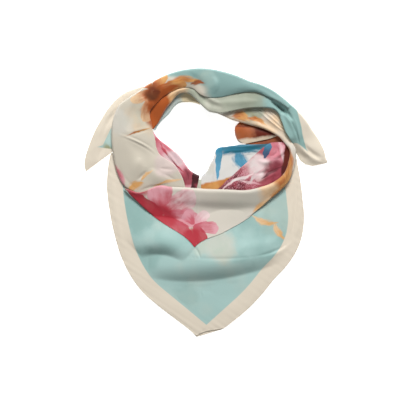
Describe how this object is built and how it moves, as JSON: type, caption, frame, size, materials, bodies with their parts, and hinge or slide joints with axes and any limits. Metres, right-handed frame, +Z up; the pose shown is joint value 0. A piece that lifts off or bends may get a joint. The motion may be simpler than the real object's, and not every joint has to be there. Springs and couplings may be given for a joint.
{
  "type": "square scarf",
  "caption": "Square satin scarf folded on the diagonal, wound once into a ring and laid flat, with a pointed front drape, a soft cowl and two short tails.",
  "frame": {"origin": "middle of the bounding box in plan, on the surface that the scarf lies on", "axes": "+Y from the front point to the back of the ring, +Z up from the surface, +X to the right seen from above"},
  "size_m": [0.4251, 0.4693, 0.0316],
  "materials": {
    "duck_egg": "satin",
    "cream": "satin",
    "rose": "satin",
    "rust": "satin",
    "pale_green": "satin",
    "teal": "satin",
    "plum": "satin"
  },
  "bodies": {
    "root": {"front_point": "duck_egg", "front_point_under_leaf": "cream", "front_cowl": "cream", "left_side": "cream", "crown_upper_fold": "duck_egg", "crown_lower_fold": "pale_green", "right_tail": "cream", "under_band": "duck_egg", "left_tail": "cream", "right_side": "rust", "inner_strip": "rose", "inner_flap": "teal", "inner_lining": "plum", "inner_roll": "rust", "hidden_layers": "pale_green"}
  },
  "joints": []
}
